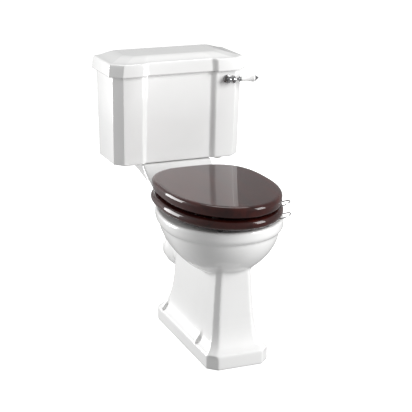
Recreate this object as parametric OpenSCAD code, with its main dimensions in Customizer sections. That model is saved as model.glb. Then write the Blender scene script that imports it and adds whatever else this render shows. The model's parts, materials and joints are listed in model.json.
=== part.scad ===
// Close coupled toilet: a pedestal pan, a lever cistern bolted on its shelf,
// and a wooden seat with a lid on a bar hinge.
// Origin: on the floor, at the centre of the four floor-screw holes.
// +X is to the right seen from the front, +Y to the wall, +Z up. Millimetres.

/* [Place] */
// From the centre of the floor screws back to the wall
wall_y = 396; // [392:1:400]
// Side to side distance of the floor screws
floor_hole_dx = 154; // [150:1:156]
// Front to back distance of the floor screws
floor_hole_dy = 270; // [262:1:276]
// Radius of a floor-screw hole
floor_hole_r = 4.5; // [3.5:0.5:5.5]

/* [Pan] */
// Top of the rim
rim_z = 400; // [399.5:0.5:400.5]
// Height of the rim band
rim_band_h = 36; // [35:1:37]
// How far the rim band stands out from the bowl below it
rim_lip = 11.5; // [10:0.5:13]
// Widest line of the bowl, from the wall
bowl_axis_d = 508; // [505:1:511]
// Half width of the bowl under the rim band
bowl_w = 153.5; // [151:0.5:156]
// Front of the bowl under the rim band, from the wall
bowl_nose_d = 675; // [672:1:678]
// Rear of the bowl, from the wall
bowl_rear_d = 242; // [238:1:246]
// Depth of the bowl below the rim band
bowl_h = 134; // [131:1:137]
// Thickness of the fired clay
clay = 12; // [10:0.5:13]

/* [Shelf] */
// Top of the shelf under the cistern
shelf_z = 463; // [462:0.5:464]
// Half width of the shelf
shelf_w = 108; // [104:1:112]
// Front of the shelf, from the wall
shelf_front_d = 158; // [154:1:162]
// Foot of the cove in front of the shelf, from the wall
cove_foot_d = 258; // [254:1:262]

/* [Pedestal] */
// Half width of the foot
foot_w = 91; // [89:1:94]
// Front of the foot, from the wall
foot_front_d = 643; // [640:1:646]
// Rear of the foot, from the wall
foot_rear_d = 205; // [200:1:210]
// Upright edge of the foot
foot_h = 40; // [36:1:44]
// Front corner chamfer of the foot
foot_chamfer = 26; // [24:1:28]
// Half width of the column under the bowl
column_w = 53; // [51:1:55]
// Front of the column, from the wall
column_front_d = 602; // [598:1:606]
// Rear of the column, from the wall
column_rear_d = 270; // [264:1:276]
// Radius of the bore through the trap
trap_r = 42; // [40:1:43]
// Outer radius of the outlet spigot
spigot_r = 51; // [50:0.5:52]
// Height of the outlet spigot
spigot_z = 205; // [203:1:207]
// End of the outlet spigot, from the wall
spigot_end_d = 154; // [150:1:156]

/* [Cistern] */
// Underside of the cistern
tank_z = 466; // [466:0.5:467]
// Top edge of the cistern body
tank_top_z = 731; // [729:1:733]
// Half width at the bottom
tank_w_low = 194.6; // [193:0.2:196]
// Half width at the top
tank_w_high = 198.4; // [197:0.2:200]
// Front to wall at the bottom
tank_d_low = 172.5; // [171:0.5:174]
// Front to wall at the top
tank_d_high = 189.3; // [188:0.5:191]
// Chamfer of the front corners
tank_chamfer = 25; // [22:1:28]
// Depth of the sunk front panel
panel_depth = 11; // [9:0.5:12]
// Half width of the sunk front panel, at the middle of its curved edge
panel_w = 106; // [102:1:110]
// Wall of the cistern
tank_wall = 10; // [9:0.5:11]
// Thickness of the cistern floor
tank_floor = 12; // [11:0.5:13]
// Height of the cistern lid's upright edge
lid_edge_h = 37; // [35:1:39]
// Rise from the edge of the cistern lid to its flat top
lid_rise = 12; // [10:1:13]

/* [Seat] */
// Underside of the seat ring
ring_z = 412; // [411.5:0.5:412.5]
// Thickness of the seat ring
ring_t = 26; // [25:0.5:27]
// Half width of the seat ring
ring_w = 164; // [162:1:166]
// Front of the seat ring, from the wall
ring_nose_d = 709; // [706:1:712]
// Underside of the seat lid
cover_z = 447; // [446.5:0.5:447.5]
// Thickness of the seat lid
cover_t = 30; // [28:1:30]
// Half width of the seat lid
cover_w = 159; // [157:1:160]
// Front of the seat lid, from the wall
cover_nose_d = 715; // [712:1:717]
// Rear of the wooden parts, from the wall
wood_rear_d = 262; // [261:0.5:264]
// Hinge axis, from the wall
hinge_d = 250; // [249:0.5:251]
// Height of the hinge axis
hinge_z = 443; // [442.5:0.5:443.5]
// Distance between the two seat bolts
seat_bolt_dx = 155; // [150:1:158]

/* [Lever] */
// Lever spindle, to the right of the centre line
lever_x = 146; // [145:1:147]
// Height of the lever spindle
lever_z = 706; // [704:1:708]
// Lever arm, from the wall
lever_d = 204; // [204:0.5:205]

/* [Fittings] */
// Centre of the flush outlet, from the wall
outlet_d = 85; // [83:1:87]
// Siphon chamber, to the right of the flush outlet
chamber_x = 66; // [65:0.5:67]
// Fill valve, to the right of the flush outlet
valve_x = 158; // [157:0.5:159]
// Outer radius of the siphon tail
tail_r = 28; // [27:0.5:28.5]
// Outer radius of the fill valve tail
inlet_r = 10.5; // [10:0.1:10.8]
// Half distance of the two coupling bolts
coupling_x = 75; // [73:1:77]

/* [Hidden] */
$fn = 48;

china = "white";
chrome = "silver";
mahogany = "#4a1c12";
rubber = "#2b2b2b";
plastic = "gainsboro";
brass = "goldenrod";

gap = 0.3;              // clear space between faces that don't bear on each other
run = 0.05;             // running clearance of a hinge barrel on its bar
outlet_y = wall_y - outlet_d;
hinge_y = wall_y - hinge_d;
band_z = rim_z - rim_band_h;

// ---- general shapes ----

// A y coordinate from a distance to the wall.
function from_wall(d) = wall_y - d;

// A closed skin over rings of equal point count, lowest ring first, each
// ring anticlockwise seen from above.
module loft(rings) {
    n = len(rings[0]);
    m = len(rings);
    sides = [for (r = [0 : m - 2], i = [0 : n - 1])
        let (j = (i + 1) % n, a = r * n, b = a + n)
        each [[a + i, b + i, b + j], [a + i, b + j, a + j]]];
    bottom = [for (i = [0 : n - 1]) i];
    top = [for (i = [n - 1 : -1 : 0]) (m - 1) * n + i];
    polyhedron(points = [for (r = rings) each r],
        faces = concat([bottom], sides, [top]));
}

// A closed band: each row is a loop of points, and the last row joins the first.
module band(rows) {
    n = len(rows[0]);
    m = len(rows);
    polyhedron(points = [for (r = rows) each r],
        faces = [for (r = [0 : m - 1], i = [0 : n - 1])
            let (j = (i + 1) % n, a = r * n, b = ((r + 1) % m) * n)
            each [[a + i, b + i, b + j], [a + i, b + j, a + j]]]);
}

// Joins its children into one skin, so that the bores cut from it stay true.
module one_skin() {
    resize([0, 0, 0]) union() children();
}

// A tapered tube through points p with radii r, its rings square to the path
// in the plane x = 0.
module swept_tube(p, r, sides = 20) {
    last = len(p) - 1;
    loft([for (i = [0 : last])
        let (a = p[max(i - 1, 0)], b = p[min(i + 1, last)],
            t = (b - a) / norm(b - a), up = [0, t[1], -t[0]])
        [for (k = [0 : sides - 1]) let (q = 360 * k / sides)
            [r[i] * cos(q), p[i][0] + r[i] * sin(q) * up[1],
             p[i][1] + r[i] * sin(q) * up[2]]]]);
}

// Points of a smooth curve through the path p, 'steps' to each stretch.
function smooth_path(p, steps) = [
    for (i = [0 : len(p) - 2], k = [0 : steps - 1]) spline(p, i, k / steps),
    p[len(p) - 1]];
function spline(p, i, t) =
    let (last = len(p) - 1, a = p[max(i - 1, 0)], b = p[i], c = p[i + 1],
        d = p[min(i + 2, last)])
    0.5 * (2 * b + (c - a) * t + (2 * a - 5 * b + 4 * c - d) * t * t
        + (3 * b - a - 3 * c + d) * t * t * t);

// An egg outline: an ellipse in front of its widest line, and a squarer curve
// behind it. 'square' is 2 for an ellipse and more for a squarer rear.
function egg(w, wide_y, front_y, rear_y, square = 4, n = 48) =
    [for (i = [0 : n - 1]) let (t = 360 * i / n, c = cos(t), s = sin(t))
        s >= 0
        ? [w * sign(c) * pow(abs(c), 2 / square),
           wide_y + (rear_y - wide_y) * pow(s, 2 / square)]
        : [w * c, wide_y - (wide_y - front_y) * abs(s)]];
function at_z(outline, z) = [for (p = outline) [p[0], p[1], z]];

// Its children and their mirror image across the centre line.
module pair() {
    children();
    mirror([1, 0, 0]) children();
}

module ring_washer(r, bore, h) {
    difference() {
        cylinder(r = r, h = h);
        translate([0, 0, -1]) cylinder(r = bore, h = h + 2);
    }
}

// A hexagon nut with a round bore, its lower face at z = 0.
module hex_nut(across, bore, h) {
    difference() {
        cylinder(r = across / sqrt(3), h = h, $fn = 6);
        translate([0, 0, -1]) cylinder(r = bore, h = h + 2);
    }
}

// A wing nut hanging below z = 0.
module wing_nut(bore, boss, h) {
    difference() {
        union() {
            translate([0, 0, -h]) cylinder(r1 = boss * 0.8, r2 = boss, h = h);
            for (side = [-1, 1]) translate([side * boss * 1.45, 1.2, -h * 0.75])
                rotate([90, 0, 0]) cylinder(r = boss * 0.8, h = 2.4);
        }
        translate([0, 0, -h - 1]) cylinder(r = bore, h = h + 2);
    }
}

// ---- pan ----

// 2 for a true ellipse, and less for a bowl that draws in sooner.
bowl_bulge = 1.73;

// Scale of the bowl's outline at height z, one at the rim band and none at its foot.
function bowl_scale(z, depth) =
    pow(max(1 - pow((band_z - z) / depth, bowl_bulge), 0), 1 / bowl_bulge);
function bowl_outline(s, w, nose, rear) =
    let (a = from_wall(bowl_axis_d))
    egg(w * s, a, a - (nose - bowl_axis_d) * s, a + (bowl_axis_d - rear) * s, 2.2);

// The half-egg body of the bowl, and the band around its rim, rounded below.
module bowl_outside() {
    levels = [for (a = [78 : -9 : 6]) band_z - bowl_h * sin(a), band_z];
    loft(concat(
        [for (z = levels) at_z(bowl_outline(bowl_scale(z, bowl_h),
            bowl_w, bowl_nose_d, bowl_rear_d), z)],
        [for (a = [15 : 15 : 90]) let (out = rim_lip * sin(a))
            at_z(bowl_outline(1, bowl_w + out, bowl_nose_d + out, bowl_rear_d),
                band_z + 0.3 + 16 * (1 - cos(a)))],
        [for (step = [[rim_band_h - 4, 0], [rim_band_h, 3]]) let (out = rim_lip - step[1])
            at_z(bowl_outline(1, bowl_w + out, bowl_nose_d + out, bowl_rear_d),
                band_z + step[0])]));
}

// The hollow of the bowl, wider below the overhanging flush rim.
module bowl_inside() {
    depth = bowl_h - clay;
    rim_inner = 30;
    rim_under = band_z - 8;
    levels = [for (a = [74 : -10 : 4]) band_z - depth * sin(a)];
    below = [for (z = levels) if (z < rim_under)
        at_z(bowl_outline(bowl_scale(z, depth), bowl_w - clay,
            bowl_nose_d - clay, bowl_rear_d + 3 * clay), z)];
    loft(concat(below,
        [at_z(bowl_outline(1, bowl_w - clay, bowl_nose_d - clay,
            bowl_rear_d + 3 * clay), rim_under)],
        [for (z = [rim_under + 6, rim_z + 1]) at_z(bowl_outline(1,
            bowl_w - rim_inner, bowl_nose_d - rim_inner,
            bowl_rear_d + 3 * rim_inner), z)]));
}

// Height of the top of the shelf, and of the cove in front of it.
function shelf_top(d) =
    d <= shelf_front_d ? shelf_z
    : rim_z + (shelf_z - rim_z)
        * pow(max((cove_foot_d - d) / (cove_foot_d - shelf_front_d), 0), 1.5);
// Underside of the shelf, which drops from its rear edge to the rim band.
function shelf_under(d) =
    d <= 210 ? shelf_z - 20 - 33 * pow(d / 210, 2) : 410 - 41 * min((d - 210) / 80, 1);
function shelf_half(d) = shelf_w - (d <= shelf_front_d ? 0 : (d - shelf_front_d) / 17);

// The shelf and its cove: upright sections from the wall side to the rim.
module shelf() {
    r = 4;
    rotate([90, 0, 0]) loft([
        for (d = [6, 10, 60, 110, shelf_front_d - 4, shelf_front_d, 168, 180, 195,
                  210, 225, 240, cove_foot_d, 275, 300])
        let (w = shelf_half(d) - (d < 10 ? r : 0), hi = shelf_top(d) - (d < 10 ? r : 0),
            lo = shelf_under(d) + (d < 10 ? r : 0))
        [for (p = [[w - r, hi], [-w + r, hi], [-w + 1, hi - 1], [-w, hi - r], [-w, lo + r],
                   [-w + r, lo], [w - r, lo], [w, lo + r], [w, hi - r], [w - 1, hi - 1]])
            [p[0], p[1], d - wall_y]]]);
}

// The flushway below the shelf, from under the cistern to the rim.
// Each section is a distance from the wall, a half width, a low and a high height.
module flushway_outside() {
    rotate([90, 0, 0]) loft([
        for (s = [[40, 30, 404, 444], [56, 44, 390, 446], [115, 46, 376, 436],
                  [200, 46, 342, 404], [290, 50, 314, 382]])
        [for (k = [0 : 23]) let (a = 360 * k / 24)
            [s[1] * cos(a), (s[2] + s[3]) / 2 + (s[3] - s[2]) / 2 * sin(a),
             s[0] - wall_y]]]);
}

// Fall of the flushway from under the cistern to the bowl, in degrees.
flushway_fall = 21;

// A rectangle with chamfered front corners and rounded rear ones.
function plinth(w, front_d, rear_d, chamfer, z) =
    let (f = from_wall(front_d), b = from_wall(rear_d), r = min(24, w / 2))
    [for (p = concat(
        [[w, f + chamfer]],
        [for (a = [0 : 22.5 : 90]) [w - r + r * cos(a), b - r + r * sin(a)]],
        [for (a = [90 : 22.5 : 180]) [-w + r + r * cos(a), b - r + r * sin(a)]],
        [[-w, f + chamfer], [-w + chamfer, f], [w - chamfer, f]]))
        [p[0], p[1], z]];

// The column tapers gently and flares near the foot.
column_taper = 0.062;
column_top_z = 250;
function column_half(z) =
    let (straight = column_w + column_taper * (column_top_z - z),
        flare = foot_w - column_w - column_taper * (column_top_z - foot_h))
    straight + flare * exp(-(z - foot_h) / 22);
function column_front(z) =
    column_front_d + (foot_front_d - column_front_d) * exp(-(z - foot_h) / 33);
function column_chamfer(z) = 13 + 5 * exp(-(z - foot_h) / 60);
function column_rear(z) =
    column_rear_d - (column_rear_d - foot_rear_d) * exp(-(z - foot_h) / 56);

module pedestal_outside() {
    edge = 3;
    loft(concat(
        [plinth(foot_w - 1, foot_front_d - 1, foot_rear_d + 1, foot_chamfer, 0),
         plinth(foot_w, foot_front_d, foot_rear_d, foot_chamfer, 2),
         plinth(foot_w, foot_front_d, foot_rear_d, foot_chamfer, foot_h - edge),
         plinth(foot_w - 1, foot_front_d - 1, foot_rear_d + 1, foot_chamfer, foot_h - 1)],
        [for (z = [42, 46, 51, 58, 67, 79, 95, 120, 155, 200, 250, 330])
            plinth(column_half(z), column_front(z), column_rear(z), column_chamfer(z), z)]));
}

// The hollow under the pedestal, open to the floor.
module pedestal_inside() {
    loft(concat(
        [plinth(foot_w - clay, foot_front_d - clay, foot_rear_d + clay, foot_chamfer - 5, -1),
         plinth(foot_w - clay - 18, foot_front_d - clay - 12, foot_rear_d + clay + 12,
            foot_chamfer - 8, 30)],
        [for (z = [52, 80, 150, 210, 236])
            plinth(column_half(z) - clay, column_front(z) - clay, column_rear(z) + clay,
                8, z)]));
}

// Centre line of the trap, as distances from the wall and heights: down from the
// bowl, under the dip, up over the weir and down to the outlet.
trap_path = [[465, 232], [460, 185], [440, 132], [390, 106], [338, 124], [313, 168],
    [292, 205], [256, 221], [222, 209], [195, spigot_z], [150, spigot_z]];
function trap_line() = [for (p = smooth_path(trap_path, 2)) [from_wall(p[0]), p[1]]];

// Distance from the wall at which the trap ends square and the spigot starts.
spigot_root_d = 182;

module trap_outside() {
    difference() {
        swept_tube(trap_line(), [for (p = trap_line()) trap_r + clay]);
        translate([-100, from_wall(spigot_root_d), spigot_z - 100]) cube(200);
    }
}

module trap_inside() {
    swept_tube(concat([[from_wall(470), 262]], trap_line()),
        concat([trap_r + 14], [for (p = trap_line()) trap_r]));
}

// Top of the pockets for the seat bolts' nuts.
seat_bolt_seat_z = 376;

module seat_bolt_places() {
    for (side = [-1, 1]) translate([side * seat_bolt_dx / 2, hinge_y, 0]) children();
}

module coupling_places() {
    for (side = [-1, 1]) translate([side * coupling_x, outlet_y, 0]) children();
}

module floor_hole_places() {
    for (sx = [-1, 1], sy = [-1, 1])
        translate([sx * floor_hole_dx / 2, sy * floor_hole_dy / 2, 0]) children();
}

// Radius of the pockets that take the floor screws' cups, and their floor.
screw_pocket_r = 9.5;
screw_pocket_z = 34;

// The fired body: an outer skin, with the bowl, the trap and the foot hollow.
module pan_body() {
    difference() {
        union() {
            bowl_outside();
            shelf();
            flushway_outside();
            trap_outside();
            difference() {
                pedestal_outside();
                difference() {
                    pedestal_inside();
                    // clay stands around each screw pocket
                    floor_hole_places() translate([0, 0, -2])
                        cylinder(r = screw_pocket_r + 9, h = 76, $fn = 24);
                    // solid fork between the two legs of the trap
                    translate([-60, from_wall(445), 150]) cube([120, 115, 130]);
                }
            }
        }
        bowl_inside();
        trap_inside();
        pan_fittings_holes();
    }
}

// Holes and seats for what is fastened to the pan.
module pan_fittings_holes() {
    // flush inlet: a seat for the gasket and a way down into the flushway
    translate([0, outlet_y, shelf_z - 14]) cylinder(r = 44, h = 20);
    translate([0, outlet_y, 412]) cylinder(r = 34, h = 60, $fn = 32);
    translate([0, outlet_y, 418]) rotate([90 + flushway_fall, 0, 0])
        cylinder(r = 16, h = 204, $fn = 20);
    coupling_places() {
        translate([0, 0, 400]) cylinder(r = 6, h = 80, $fn = 24);
        // a flat seat under the shelf for the washer
        translate([0, 0, coupling_seat_z - 24]) cylinder(r = 17, h = 24, $fn = 32);
    }
    // each seat bolt has a flat on top and a pocket for its nut below
    seat_bolt_places() {
        translate([0, 0, 330]) cylinder(r = 7, h = 100, $fn = 24);
        translate([0, 0, rim_z]) cylinder(r = 21, h = 60, $fn = 32);
        translate([0, 0, seat_bolt_seat_z - 76]) cylinder(r = 18, h = 76, $fn = 24);
    }
    floor_hole_places() translate([0, 0, screw_pocket_z])
        cylinder(r = screw_pocket_r, h = 60, $fn = 32);
}

module pan() {
    let_in = 5;
    color(china) difference() {
        union() {
            one_skin() pan_body();
            translate([0, from_wall(spigot_root_d + let_in), spigot_z]) rotate([-90, 0, 0])
                ring_washer(spigot_r, trap_r - 1, spigot_root_d + let_in - spigot_end_d);
        }
        floor_hole_places() translate([0, 0, -1])
            cylinder(r = floor_hole_r, h = screw_pocket_z + 5);
    }
}

// ---- cistern ----

// The outline shared by the cistern and its lid, anticlockwise from the middle of
// the front: a sunk panel with curved edges, chamfered front corners, square rear.
function tank_outline(w, front_d, rear_d, chamfer, sunk, half_panel, z) =
    let (f = from_wall(front_d), b = from_wall(rear_d), k = 10, soft = 3,
        right = concat(
            [[0, f + sunk], [half_panel * 0.6, f + sunk]],
            [for (i = [0 : 6]) [half_panel - k + 2 * k * i / 6,
                f + sunk * (0.5 + 0.5 * cos(180 * i / 6))]],
            [[w - chamfer - soft, f], [w - chamfer + soft * 0.7, f + soft * 0.7],
             [w - soft * 0.7, f + chamfer - soft * 0.7], [w, f + chamfer + soft],
             [w, b - 8], [w - 2.4, b - 2.4], [w - 8, b]]))
    [for (p = right) [p[0], p[1], z],
     for (i = [len(right) - 1 : -1 : 1]) [-right[i][0], right[i][1], z]];

function tank_lerp(low, high, z) = low + (high - low) * (z - tank_z) / (tank_top_z - tank_z);
function tank_section(z, by, chamfer_less) = tank_outline(
    tank_lerp(tank_w_low, tank_w_high, z) - by,
    tank_lerp(tank_d_low, tank_d_high, z) - by, 3 + by,
    tank_chamfer - chamfer_less, panel_depth, panel_w - by / 3, z);

module tank_outside() {
    r = 7;
    loft(concat(
        [for (a = [0 : 22.5 : 90]) tank_section(tank_z + r - r * cos(a), r - r * sin(a), 0)],
        [tank_section(600, 0, 0), tank_section(tank_top_z - 2, 0, 0),
         tank_section(tank_top_z, 2, 0)]));
}

module tank_inside() {
    r = 8;
    z0 = tank_z + tank_floor;
    loft(concat(
        [for (a = [0 : 30 : 90])
            tank_section(z0 + r - r * cos(a), tank_wall + r - r * sin(a), 6)],
        [tank_section(tank_top_z - 8, tank_wall, 6),
         tank_section(tank_top_z + 1, tank_wall - 1, 6)]));
}

wall_hole_x = 115;
wall_hole_z = 650;

module cistern() {
    color(china) difference() {
        one_skin() difference() {
            tank_outside();
            tank_inside();
        }
        translate([0, outlet_y, tank_z - 5]) cylinder(r = tail_r + 2, h = 30);
        coupling_places() translate([0, 0, tank_z - 5]) cylinder(r = 6, h = 30);
        translate([valve_x, outlet_y, tank_z - 5]) cylinder(r = inlet_r + 1, h = 40);
        translate([lever_x, from_wall(150), lever_z]) rotate([90, 0, 0])
            cylinder(r = 8, h = 50);
        for (side = [-1, 1]) translate([side * wall_hole_x, from_wall(20), wall_hole_z])
            rotate([-90, 0, 0]) cylinder(r = 4, h = 30);
    }
}

lid_z = tank_top_z + gap;
lid_edge_z = lid_z + lid_edge_h;
lid_top_z = lid_edge_z + lid_rise;

module cistern_lid() {
    w = 206.3;
    d = 199.3;
    top_w = 142;
    top_d = 125;
    color(china) one_skin() difference() {
        loft([
            tank_outline(w + 3.6, d + 3.2, 0.5, 32, panel_depth + 1, panel_w, lid_z),
            tank_outline(w + 5.1, d + 4.7, 0, 33, panel_depth + 1, panel_w, lid_z + 2),
            tank_outline(w + 4.4, d + 4, 0, 33, panel_depth + 1, panel_w, lid_z + 8),
            tank_outline(w + 0.6, d + 0.6, 0, 33, panel_depth + 1, panel_w, lid_edge_z - 4),
            tank_outline(w - 1, d - 1, 1, 33, panel_depth + 1, panel_w, lid_edge_z - 1),
            tank_outline(w - 4, d - 4, 3, 32, panel_depth, panel_w - 1, lid_edge_z + 0.4),
            // the slope to the flat top is hollow below and round above
            tank_outline(w - 21, d - 24, 4, 30, 8, panel_w - 8, lid_edge_z + lid_rise * 0.22),
            tank_outline(w - 38, d - 44, 4, 29, 5, panel_w - 15, lid_edge_z + lid_rise * 0.65),
            tank_outline(top_w + 3, top_d + 3, 5, 27, 1, 82, lid_top_z - 1),
            tank_outline(top_w, top_d, 7, 26, 0, 80, lid_top_z)
        ]);
        // the hollow underneath, between an outer wall that laps the cistern's
        // top edge and the sloping roof
        loft([
            tank_outline(w - 12, d - 14, 14, 28, panel_depth, panel_w, lid_z - 1),
            tank_outline(w - 16, d - 16, 16, 28, panel_depth, panel_w, lid_edge_z - 15),
            tank_outline(top_w - 2, top_d - 8, 20, 20, 0, 80, lid_top_z - 13)
        ]);
    }
}

// ---- coupling of the cistern to the pan ----

module coupling_gasket() {
    color(rubber) translate([0, outlet_y, shelf_z - 14 + gap / 3])
        ring_washer(42, 37, tank_z - shelf_z + 14 - gap / 2);
}

module coupling_bolts() {
    color(brass) coupling_places() {
        translate([0, 0, 418]) cylinder(r = 4, h = 64);
        translate([0, 0, tank_z + tank_floor + 4]) cylinder(r = 7.5, h = 5.5, $fn = 6);
    }
}

module coupling_rubber_washers() {
    color(rubber) coupling_places() translate([0, 0, tank_z + tank_floor])
        ring_washer(12, 4.02, 4);
}

// Flat seats under the shelf at the line of the coupling bolts.
coupling_seat_z = shelf_under(outlet_d) + 3;

module coupling_steel_washers() {
    color(chrome) coupling_places() translate([0, 0, coupling_seat_z - 2.2])
        ring_washer(11, 4.1, 2);
}

module coupling_wing_nuts() {
    color(brass) coupling_places() translate([0, 0, coupling_seat_z - 2.3])
        wing_nut(4.02, 8, 9);
}

// ---- siphon ----

siphon_floor = tank_z + tank_floor + 3;
crown_z = 640;
crown_r = chamber_x / 2;
chamber_top = 570;

module siphon_body() {
    leg = 21;
    wall = 2.5;
    color(plastic) translate([0, outlet_y, 0]) difference() {
        union() {
            translate([0, 0, 424]) cylinder(r = tail_r, h = siphon_floor - 424);
            translate([0, 0, siphon_floor]) cylinder(r = tail_r + 8, h = 5);
            translate([0, 0, siphon_floor]) cylinder(r = leg, h = crown_z - siphon_floor);
            translate([chamber_x, 0, siphon_floor + 4]) cylinder(r = 38,
                h = chamber_top - siphon_floor - 18);
            translate([chamber_x, 0, chamber_top - 14]) cylinder(r1 = 38, r2 = leg, h = 14);
            translate([chamber_x, 0, chamber_top]) cylinder(r = leg,
                h = crown_z - chamber_top);
            translate([crown_r, 0, crown_z]) rotate([90, 0, 0])
                rotate_extrude(angle = 180) translate([crown_r, 0]) circle(r = leg);
            // strut that ties the chamber to the tail
            translate([24, -5, siphon_floor]) cube([8, 10, 70]);
        }
        translate([0, 0, 420]) cylinder(r = leg - wall, h = crown_z - 420);
        translate([chamber_x, 0, siphon_floor]) cylinder(r = 38 - wall,
            h = chamber_top - siphon_floor - 15);
        translate([chamber_x, 0, chamber_top - 15]) cylinder(r1 = 38 - wall,
            r2 = leg - wall, h = 13);
        translate([chamber_x, 0, chamber_top - 3]) cylinder(r = leg - wall,
            h = crown_z - chamber_top + 3);
        translate([crown_r, 0, crown_z]) rotate([90, 0, 0])
            rotate_extrude(angle = 180) translate([crown_r, 0]) circle(r = leg - wall);
        // the lift rod comes out through the crown
        translate([chamber_x, 0, crown_z]) cylinder(r = 3.2, h = 60);
    }
}

module siphon_washer() {
    color(rubber) translate([0, outlet_y, tank_z + tank_floor])
        ring_washer(tail_r + 8, tail_r + 0.1, siphon_floor - tank_z - tank_floor);
}

module siphon_back_nut() {
    color(plastic) translate([0, outlet_y, tank_z - 10]) hex_nut(62, tail_r + 0.05, 9.8);
}

plate_z = siphon_floor + 12;
stirrup_z = lever_z - 14;

module lift_rod() {
    color(brass) translate([chamber_x, outlet_y, plate_z]) {
        cylinder(r = 2.5, h = stirrup_z - plate_z);
        cylinder(r = 6, h = 3);
    }
}

module lift_plate() {
    color(plastic) translate([chamber_x, outlet_y, plate_z - 3]) difference() {
        cylinder(r = 33, h = 3);
        for (k = [0 : 5]) rotate(60 * k) translate([20, 0, -1]) cylinder(r = 7, h = 5);
    }
}

module lift_diaphragm() {
    color(rubber) translate([chamber_x, outlet_y, plate_z]) ring_washer(32, 6.1, 1);
}

// A stirrup around the crank, hung on the top of the lift rod.
module lift_stirrup() {
    color(chrome) translate([chamber_x - 1.5, outlet_y - 8, stirrup_z]) difference() {
        cube([3, 16, 26]);
        translate([-1, 3, 3.2]) cube([5, 10, 19.3]);
    }
}

// ---- fill valve ----

// Ledge on the fill valve's stem that carries the float cup while the cistern is empty.
cup_stop_z = 560;

// Underside of the fill valve's back nut.
inlet_nut_z = tank_z - 8;

module fill_valve_shank() {
    color(plastic) translate([valve_x, outlet_y, 0]) difference() {
        union() {
            translate([0, 0, 442]) cylinder(r = inlet_r, h = 20);
            translate([0, 0, inlet_nut_z]) cylinder(r = inlet_r + 0.5,
                h = siphon_floor - inlet_nut_z + 4);
            translate([0, 0, siphon_floor]) cylinder(r = 17, h = 4);
            translate([0, 0, siphon_floor]) cylinder(r = 9, h = 148);
            // stop that holds the float cup when the cistern is empty
            translate([0, 0, cup_stop_z]) cylinder(r = 13, h = 4);
        }
        translate([0, 0, 420]) cylinder(r = 6, h = 200);
    }
}

module fill_valve_washer() {
    color(rubber) translate([valve_x, outlet_y, tank_z + tank_floor])
        ring_washer(17, inlet_r + 0.6, 3);
}

module fill_valve_back_nut() {
    color(plastic) translate([valve_x, outlet_y, inlet_nut_z]) hex_nut(32, inlet_r + 0.55, 7.8);
}

head_z = siphon_floor + 148;
arm_pivot_x = valve_x + 8;
arm_pivot_z = head_z + 27;
arm_length = 35;
silencer_y = 28;        // silencer tube, behind the fill valve's stem

module fill_valve_head() {
    color(plastic) translate([valve_x, outlet_y, head_z]) difference() {
        union() {
            cylinder(r = 15, h = 18);
            translate([0, 0, 18]) cylinder(r1 = 15, r2 = 10, h = 4);
            for (side = [-1, 1]) translate([3, side * 6 - 1.5, 20]) cube([10, 3, 11]);
            // side outlet for the silencer tube
            translate([-5, 12, -2]) cube([10, silencer_y - 7, 12]);
        }
        translate([8, 10, 27]) rotate([90, 0, 0]) cylinder(r = 1.5 + run, h = 20);
        translate([0, silencer_y, -3]) cylinder(r = 3.42, h = 8);
    }
}

module silencer_tube() {
    color(plastic) translate([valve_x, outlet_y + silencer_y, siphon_floor + 20])
        ring_washer(3.4, 2.6, head_z - siphon_floor - 16);
}

float_z = cup_stop_z + 4 + gap;
float_h = 45;
ear_z = float_z + float_h - 8;

module float_cup() {
    color("#5b6f8c") translate([valve_x, outlet_y, 0]) difference() {
        union() {
            translate([0, 0, float_z]) cylinder(r = 23, h = float_h);
            translate([arm_pivot_x - valve_x - arm_length - 4, -4, ear_z]) cube([14, 8, 8]);
        }
        translate([0, 0, float_z - 1]) cylinder(r = 9.4, h = float_h + 2);
        translate([arm_pivot_x - valve_x - arm_length, 0, ear_z - 1]) cylinder(r = 1.52, h = 10);
    }
}

// The float's rod, with a collar under the ear, one on it, and one each side of the arm.
module float_rod() {
    color(brass) translate([arm_pivot_x - arm_length, outlet_y, 0]) {
        translate([0, 0, ear_z - 6]) cylinder(r = 1.5, h = arm_pivot_z - ear_z + 16);
        for (z = [ear_z - 2, ear_z + 8, arm_pivot_z - 6.4, arm_pivot_z + 4.4])
            translate([0, 0, z]) cylinder(r = 3.4, h = 2);
    }
}

// The arm that shuts the valve, turning on its own cross pin in the head's ears.
module valve_lever() {
    color(plastic) translate([arm_pivot_x, outlet_y, arm_pivot_z]) {
        rotate([90, 0, 0]) translate([0, 0, -8]) cylinder(r = 1.5, h = 16);
        difference() {
            translate([-arm_length - 8, -4, -2]) cube([arm_length + 12, 8, 4]);
            // long slot, because the end of the arm swings in as it rises
            translate([-arm_length - 5, -2.2, -3]) cube([10, 4.4, 6]);
        }
    }
}

// ---- flush lever ----

// Outer face of the cistern at the lever.
lever_face_d = tank_lerp(tank_d_low, tank_d_high, lever_z);
lever_inner_d = lever_face_d - tank_wall;

// Places its children on the spindle, with +Z towards the front, at a distance
// from the wall.
module on_spindle(d) {
    translate([lever_x, from_wall(d), lever_z]) rotate([90, 0, 0]) children();
}

module lever_rose() {
    color(chrome) on_spindle(lever_face_d + 0.9) difference() {
        rotate_extrude() polygon([[0, 0], [12.7, 0], [12.7, 1.2], [11.4, 2.4], [9.5, 3], [0, 3]]);
        translate([0, 0, -1]) cylinder(r = 7.6, h = 8);
    }
}

module lever_bush() {
    color(brass) on_spindle(lever_inner_d - 12) difference() {
        cylinder(r = 7.5, h = lever_face_d - lever_inner_d + 15.7);
        translate([0, 0, -1]) cylinder(r = 4 + run, h = 40);
    }
}

module lever_bush_nut() {
    color(brass) on_spindle(lever_inner_d - 9) hex_nut(22, 7.52, 7);
}

module lever_spindle() {
    color(chrome) on_spindle(lever_inner_d - 24)
        cylinder(r = 4, h = lever_d - lever_inner_d + 20);
}

// Places its children along the lever, with +Z outwards to the right.
module on_lever(x) {
    translate([lever_x + x, from_wall(lever_d), lever_z]) rotate([0, 90, 0]) children();
}

// Ends of the lever's parts, from the spindle.
neck_end = 36;
grip_end = 80;

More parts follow.
